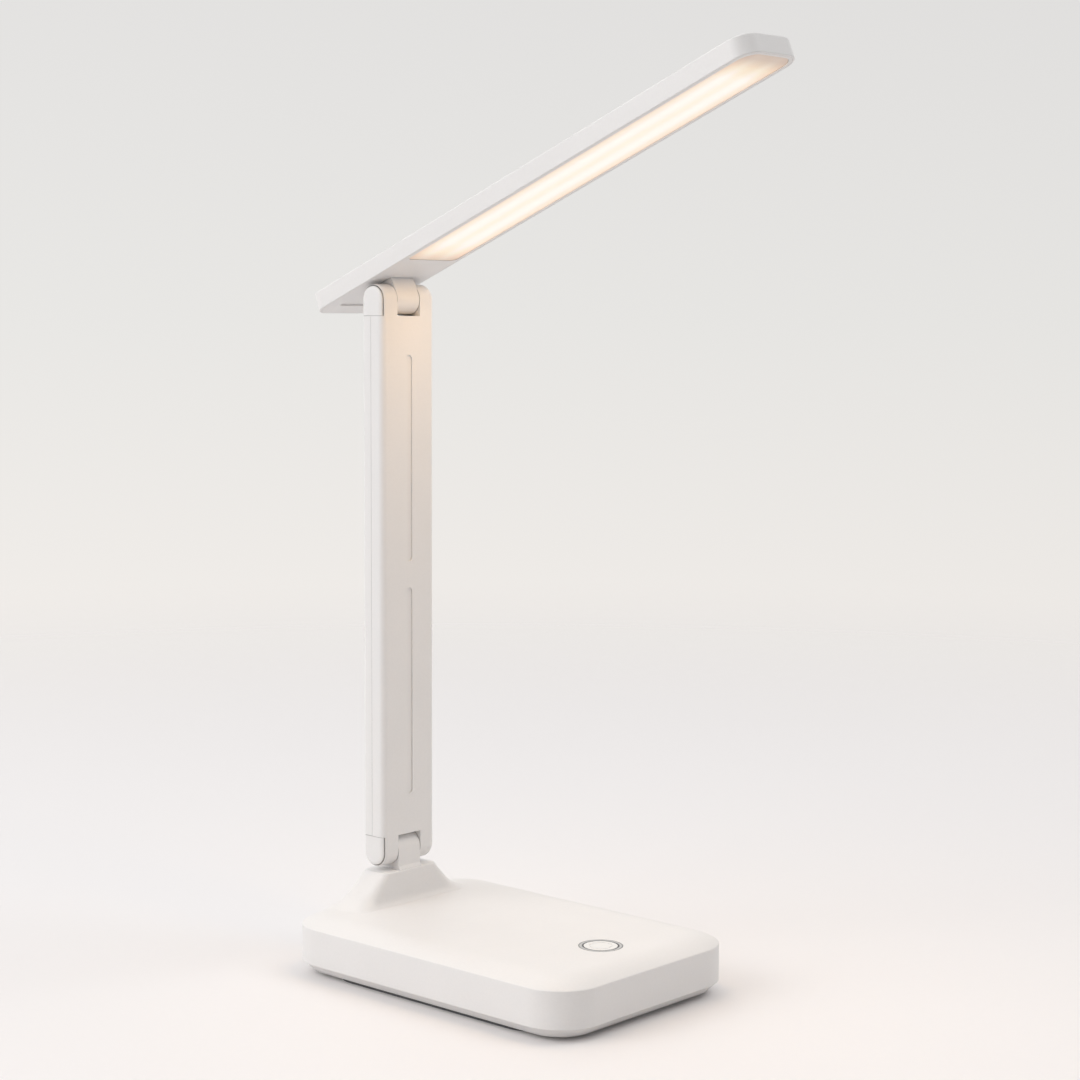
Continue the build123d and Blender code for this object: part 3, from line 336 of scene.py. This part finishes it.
def cellFoil(name, finish):  # laminated foil with pressed creases
    material, tree, shader = newMaterial(name)
    place = objectPlace(tree)
    creases = cells(tree, place, finish["creaseScale"], "SMOOTH_F1")
    wrinkles = noise(tree, place, finish["wrinkleScale"], detail=5.0, rough=0.6, warp=0.8)
    tree.links.new(ramp(tree, wrinkles, [(noiseLow, finish["dark"]), (noiseHigh, finish["light"])]),
                   shader.inputs["Base Color"])
    roughen(tree, shader, wrinkles, finish["rough"])
    shader.inputs["Metallic"].default_value = finish["metallic"]
    bumps(tree, shader, [(creases, *finish["creaseBump"]), (wrinkles, *finish["wrinkleBump"])])
    return material


# solder mask over copper tracks; turn lays the tracks along a tilted board
controlBoardFinish = {
    "mask": (0.015, 0.12, 0.055), "track": (0.03, 0.20, 0.09),
    "pitch": 260.0, "warp": 6.0, "turn": 0.0,
    "trackEdge": (0.55, 0.65), "trackBump": (0.00003, 0.6),
    "hazeScale": 500.0, "rough": (0.22, 0.34), "coat": 0.3,
}
ledBoardFinish = dict(controlBoardFinish, mask=(0.82, 0.82, 0.80), track=(0.74, 0.74, 0.71), pitch=190.0,
                      turn=headRaised)


def circuitBoard(name, finish):
    material, tree, shader = newMaterial(name)
    place = objectPlace(tree, turn=(0, finish["turn"], 0))
    wave = tree.nodes.new("ShaderNodeTexWave")
    wave.bands_direction = "DIAGONAL"
    wave.inputs["Scale"].default_value = finish["pitch"]
    wave.inputs["Distortion"].default_value = finish["warp"]
    wave.inputs["Detail"].default_value = 0.0
    tree.links.new(place, wave.inputs["Vector"])
    tracks = remap(tree, wave.outputs["Fac"], *finish["trackEdge"], 0.0, 1.0)
    tree.links.new(ramp(tree, tracks, [(0.0, finish["mask"]), (1.0, finish["track"])]),
                   shader.inputs["Base Color"])
    haze = noise(tree, place, finish["hazeScale"], detail=2.0)
    roughen(tree, shader, haze, finish["rough"])
    shader.inputs["Coat Weight"].default_value = finish["coat"]
    bumps(tree, shader, [(tracks, *finish["trackBump"])])
    return material


epoxyFinish = {
    "tones": [(0.35, (0.018, 0.018, 0.020)), (0.7, (0.045, 0.045, 0.048))],
    "rough": (0.5, 0.7), "speckScale": 3200.0, "speckBump": (0.00001, 0.8),
}


def componentEpoxy(name, finish):
    material, tree, shader = newMaterial(name)
    speck = noise(tree, objectPlace(tree), finish["speckScale"], detail=2.0, rough=0.7)
    tree.links.new(ramp(tree, speck, finish["tones"]), shader.inputs["Base Color"])
    roughen(tree, shader, speck, finish["rough"])
    bumps(tree, shader, [(speck, *finish["speckBump"])])
    return material


phosphorFinish = {
    "dark": (0.85, 0.60, 0.12), "light": (0.95, 0.76, 0.26),
    "softness": 0.1, "rough": (0.3, 0.45),
    "grainScale": 2600.0, "grainBump": (0.00001, 0.6),
}


def ledPhosphor(name, finish):
    material, tree, shader = newMaterial(name)
    grain = noise(tree, objectPlace(tree), finish["grainScale"], rough=0.7)
    tree.links.new(ramp(tree, grain, [(noiseLow, finish["dark"]), (noiseHigh, finish["light"])]),
                   shader.inputs["Base Color"])
    roughen(tree, shader, grain, finish["rough"])
    shader.inputs["Subsurface Weight"].default_value = finish["softness"]
    bumps(tree, shader, [(grain, *finish["grainBump"])])
    return material


diffuserGlow = {
    "halfWidth": 0.0142,
    "acrossStops": [                         # share of the half width, then the light it gives
        (0.00, (0.60, 0.520, 0.40)),
        (0.22, (0.61, 0.540, 0.45)),
        (0.42, (0.64, 0.625, 0.59)),
        (0.60, (0.61, 0.550, 0.47)),
        (0.82, (0.57, 0.450, 0.33)),
        (1.00, (0.53, 0.380, 0.26))],
    "alongStops": [                          # metres from the upper hinge axis, then a share of that light
        (0.0245, (0.52, 0.37, 0.25)),
        (0.0320, (0.92, 0.80, 0.66)),
        (0.0420, (1.00, 1.00, 1.00)),
        (0.1960, (1.00, 1.00, 1.00)),
        (0.2050, (0.86, 0.74, 0.56)),
        (0.2120, (0.42, 0.29, 0.20)),
        (0.2165, (0.36, 0.24, 0.16))],
    "skin": (0.0081, 0.0085),                # heights over the axis: only the outer face gives light
    "opal": (0.50, 0.485, 0.47), "opalShare": 0.02, "rough": (0.42, 0.55),
    "hazeScale": 240.0, "hazeShare": 0.015,
    "frostScale": 3000.0, "frostBump": (0.000008, 0.6),
}


def litDiffuser(name, glow):  # two rows of leds show as two soft bands, in the head's own axes
    material, tree, shader = newMaterial(name)
    back = Matrix.Rotation(headRaised, 3, "Y") @ -upperPivot
    local = objectPlace(tree, turn=(0, headRaised, 0), shift=tuple(back))
    length, width, height = axesOf(tree, local)
    aside = arithmetic(tree, "DIVIDE", arithmetic(tree, "ABSOLUTE", width), glow["halfWidth"])
    rear, front = glow["alongStops"][0][0], glow["alongStops"][-1][0]
    along = remap(tree, length, rear, front, 0.0, 1.0)
    alongStops = [((place - rear) / (front - rear), share) for place, share in glow["alongStops"]]
    light = multiplied(tree, ramp(tree, aside, glow["acrossStops"], "B_SPLINE"),
                       ramp(tree, along, alongStops))
    skin = remap(tree, height, *glow["skin"], 1.0, 0.0)
    haze = noise(tree, local, glow["hazeScale"])
    share = glow["hazeShare"]
    strength = arithmetic(tree, "MULTIPLY", skin, fromNoise(tree, haze, 1 - share, 1 + share))
    tree.links.new(light, shader.inputs["Emission Color"])
    tree.links.new(strength, shader.inputs["Emission Strength"])
    tree.links.new(varied(tree, haze, glow["opal"], glow["opalShare"]), shader.inputs["Base Color"])
    frost = noise(tree, local, glow["frostScale"], detail=2.0)
    roughen(tree, shader, frost, glow["rough"])
    bumps(tree, shader, [(frost, *glow["frostBump"])])
    return material


pieceFinishes = {
    "casing": ["base_bottom_cover", "base_top_shell", "base_knuckle", "lower_hinge_caps", "arm_front_shell",
               "arm_rear_shell", "upper_hinge_caps", "head_knuckle", "head_top_shell", "head_lower_frame"],
    "pad": ["anti_slip_pad"],
    "screw": ["cover_screws", "counterweight_screws", "control_board_screws", "charging_board_screws",
              "knuckle_screws", "arm_screws", "head_knuckle_screws", "lower_hinge_shaft",
              "lower_spring_washer", "lower_hinge_nut", "upper_hinge_shaft", "upper_spring_washer",
              "upper_hinge_nut"],
    "plate": ["counterweight_plate"],
    "foil": ["battery_cell"],
    "foam": ["battery_pad"],
    "board": ["control_board", "charging_board"],
    "epoxy": ["board_components"],
    "socket": ["charging_socket"],
    "brass": ["touch_contact_spring", "lower_hinge_bush", "upper_hinge_bush"],
    "ring": ["touch_button_ring"],
    "button": ["touch_button"],
    "jacket": ["base_lead", "charging_lead", "battery_lead", "arm_lead", "head_lead"],
    "nylon": ["lower_friction_washers", "upper_friction_washers"],
    "aluminium": ["arm_stiffener"],
    "diffuser": ["light_diffuser"],
    "reflector": ["reflector_tray"],
    "ledBoard": ["led_board"],
    "tape": ["led_board_tape"],
    "phosphor": ["led_chips"],
}


def makeFinishes():
    return {
        "casing": mouldedPlastic("casingWhite", casingFinish),
        "button": mouldedPlastic("buttonWhite", buttonFinish),
        "nylon": mouldedPlastic("washerNylon", nylonFinish),
        "reflector": mouldedPlastic("reflectorWhite", reflectorFinish),
        "pad": softPolymer("padRubber", padFinish),
        "foam": softPolymer("foamPad", foamFinish),
        "jacket": softPolymer("leadJacket", jacketFinish),
        "tape": softPolymer("thermalTape", tapeFinish),
        "screw": workedMetal("screwSteel", screwFinish),
        "plate": workedMetal("plateSteel", plateFinish),
        "socket": workedMetal("socketSteel", socketFinish),
        "brass": workedMetal("springBrass", brassFinish),
        "aluminium": workedMetal("stiffenerAluminium", aluminiumFinish),
        "ring": trimRing("ringSilver", ringFinish),
        "foil": cellFoil("cellFoil", foilFinish),
        "board": circuitBoard("boardGreen", controlBoardFinish),
        "ledBoard": circuitBoard("boardWhite", ledBoardFinish),
        "epoxy": componentEpoxy("componentBlack", epoxyFinish),
        "phosphor": ledPhosphor("ledYellow", phosphorFinish),
        "diffuser": litDiffuser("diffuserOpal", diffuserGlow),
    }


smoothing = {"weld": 0.000002, "crease": 30.0}  # metres, and the angle past which an edge stays sharp


def dressPiece(name, material):
    piece = frame["nodes"][name]
    piece.data.materials.clear()
    piece.data.materials.append(material)
    for polygon in piece.data.polygons:
        polygon.material_index = 0
        polygon.use_smooth = True
    weld = piece.modifiers.new("weld", "WELD")
    weld.merge_threshold = smoothing["weld"]
    split = piece.modifiers.new("creases", "EDGE_SPLIT")
    split.split_angle = math.radians(smoothing["crease"])
    even = piece.modifiers.new("evenShading", "WEIGHTED_NORMAL")
    even.keep_sharp = True


def dressPieces():
    finishes = makeFinishes()
    dressed = set()
    for finish, names in pieceFinishes.items():
        for name in names:
            dressPiece(name, finishes[finish])
            dressed.add(name)
    print("pieces dressed:", len(dressed), "left:", sorted(set(frame["nodes"]) - dressed))


# metres and degrees, but lens and sensor are in millimetres
cameraSetup = {
    "place": (0.64105, -0.68941, 0.27819),
    "yaw": 132.128, "pitch": -5.56, "roll": 0.235,
    "lens": 76.2, "sensor": 36.0, "clipEnd": 100.0,
}


def lookFrame(setup):
    yaw, pitch, roll = (math.radians(setup[key]) for key in ("yaw", "pitch", "roll"))
    ahead = Vector((math.cos(yaw) * math.cos(pitch), math.sin(yaw) * math.cos(pitch), math.sin(pitch)))
    level = Vector((math.sin(yaw), -math.cos(yaw), 0))
    upward = level.cross(ahead)
    right = level * math.cos(roll) + upward * math.sin(roll)
    top = upward * math.cos(roll) - level * math.sin(roll)
    return right, top, ahead


def makeCamera():
    setup = cameraSetup
    right, top, ahead = lookFrame(setup)
    data = bpy.data.cameras.new("camera")
    data.lens = setup["lens"]
    data.sensor_width = setup["sensor"]
    data.clip_end = setup["clipEnd"]
    camera = bpy.data.objects.new("camera", data)
    bpy.context.scene.collection.objects.link(camera)
    turn = Matrix((right, top, -ahead)).transposed()
    camera.matrix_world = Matrix.Translation(setup["place"]) @ turn.to_4x4()
    bpy.context.scene.camera = camera
    print("camera placed")


floorSetup = {
    "reach": 3.0, "sides": 128,
    "color": (0.85, 0.825, 0.82),
    "bounce": 0.90,                          # it throws back a little less than the camera sees
    "fade": (0.42, 1.5),                     # it gives way to the backdrop between these radii
    "paperScale": 300.0, "paperShare": 0.003,
    "rough": 0.8, "specular": 0.15,
}


def makeFloor():
    setup = floorSetup
    bpy.ops.object.select_all(action="DESELECT")
    bpy.ops.mesh.primitive_circle_add(vertices=setup["sides"], radius=setup["reach"], fill_type="NGON")
    floor = bpy.context.object
    floor.name = "floor"
    material, tree, shader = newMaterial("studioFloor")
    place = objectPlace(tree)
    paper = noise(tree, place, setup["paperScale"])
    tone = varied(tree, paper, setup["color"], setup["paperShare"])
    seen = tree.nodes.new("ShaderNodeLightPath").outputs["Is Camera Ray"]
    tone = multiplied(tree, tone, remap(tree, seen, 0.0, 1.0, setup["bounce"], 1.0))
    tree.links.new(tone, shader.inputs["Base Color"])
    shader.inputs["Roughness"].default_value = setup["rough"]
    shader.inputs["Specular IOR Level"].default_value = setup["specular"]
    fade = remap(tree, lengthOf(tree, place), *setup["fade"], 0.0, 1.0, smooth=True)
    clear = tree.nodes.new("ShaderNodeBsdfTransparent")
    tree.links.new(mixedShaders(tree, fade, shader, clear), tree.nodes["Material Output"].inputs["Surface"])
    floor.data.materials.append(material)


backdropSetup = {
    "stops": [                               # height of the view direction, then the color seen
        (-0.34, (0.90, 0.86, 0.84)),
        (-0.12, (0.86, 0.83, 0.80)),
        (0.0, (0.80, 0.79, 0.77)),
        (0.14, (0.76, 0.75, 0.74))],
    "slope": 0.07, "slopeReach": 0.3,        # brighter to the left, up to this far off the middle
    "skyColor": (1.0, 1.0, 1.0),
    "skyFar": 0.90, "skyNear": 0.33,         # the room is dimmer on the viewer's side
    "nearSide": (0.68, -0.73, 0.0),
}


def makeBackdrop():
    setup = backdropSetup
    world = bpy.data.worlds.new("studio")
    bpy.context.scene.world = world
    world.use_nodes = True
    tree = world.node_tree
    tree.nodes.clear()
    direction = tree.nodes.new("ShaderNodeTexCoord").outputs["Generated"]
    light = tree.nodes.new("ShaderNodeBackground")
    light.inputs["Color"].default_value = (*setup["skyColor"], 1)
    toward = alongDirection(tree, direction, setup["nearSide"])
    tree.links.new(remap(tree, toward, -1, 1, setup["skyFar"], setup["skyNear"]), light.inputs["Strength"])
    seen = tree.nodes.new("ShaderNodeBackground")
    low, high = setup["stops"][0][0], setup["stops"][-1][0]
    scaled = [((height - low) / (high - low), color) for height, color in setup["stops"]]
    upward = axesOf(tree, direction)[2]
    tree.links.new(ramp(tree, remap(tree, upward, low, high, 0.0, 1.0), scaled), seen.inputs["Color"])
    across = alongDirection(tree, direction, lookFrame(cameraSetup)[0])
    reach, slope = setup["slopeReach"], setup["slope"]
    tree.links.new(remap(tree, across, -reach, reach, 1 + reach * slope, 1 - reach * slope),
                   seen.inputs["Strength"])
    path = tree.nodes.new("ShaderNodeLightPath")
    visible = arithmetic(tree, "MAXIMUM", path.outputs["Is Camera Ray"],
                         arithmetic(tree, "MAXIMUM", path.outputs["Is Glossy Ray"],
                                    path.outputs["Is Transmission Ray"]))
    output = tree.nodes.new("ShaderNodeOutputWorld")
    tree.links.new(mixedShaders(tree, visible, light, seen), output.inputs["Surface"])
    print("floor and backdrop ready")


# metres and watts; each box looks at the aim
softboxes = {
    "backRightBox": {"place": (1.0, 1.0, 2.0), "size": 1.2, "power": 11.0},
    "backLeftBox": {"place": (-1.3, 0.6, 2.0), "size": 1.2, "power": 4.0},
    "leftBox": {"place": (-0.7, -2.1, 1.1), "size": 1.6, "power": 15.0},
    "leftHighBox": {"place": (-0.4, -1.3, 1.4), "size": 1.6, "power": 6.0},
    "leftRearBox": {"place": (-1.5, -1.6, 1.2), "size": 1.6, "power": 6.5},
}
softboxAim = (0.0, 0.0, 0.15)

# warm light that the lit head throws on the arm, the base and the floor; placed in the head's own axes
headGlow = {
    "along": 0.122, "above": 0.0079,
    "size": (0.180, 0.026), "power": 0.146, "color": (1.0, 0.635, 0.29),
}


def newLamp(name, shape, power):
    data = bpy.data.lights.new(name, "AREA")
    data.shape = shape
    data.energy = power
    lamp = bpy.data.objects.new(name, data)
    bpy.context.scene.collection.objects.link(lamp)
    return lamp, data


def makeLights():
    for name, box in softboxes.items():
        lamp, data = newLamp(name, "SQUARE", box["power"])
        data.size = box["size"]
        lamp.location = box["place"]
        toward = Vector(softboxAim) - Vector(box["place"])
        lamp.rotation_euler = toward.to_track_quat("-Z", "Y").to_euler()
    glow = headGlow
    lamp, data = newLamp("headGlow", "RECTANGLE", glow["power"])
    data.size, data.size_y = glow["size"]
    data.color = glow["color"]
    lamp.matrix_world = (Matrix.Translation(upperPivot) @ Matrix.Rotation(-headRaised, 4, "Y")
                         @ Matrix.Translation((glow["along"], 0, glow["above"])))
    lamp.visible_camera = False
    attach(lamp, "head")
    print("lights placed")


dressPieces()
makeCamera()
makeFloor()
makeBackdrop()
makeLights()
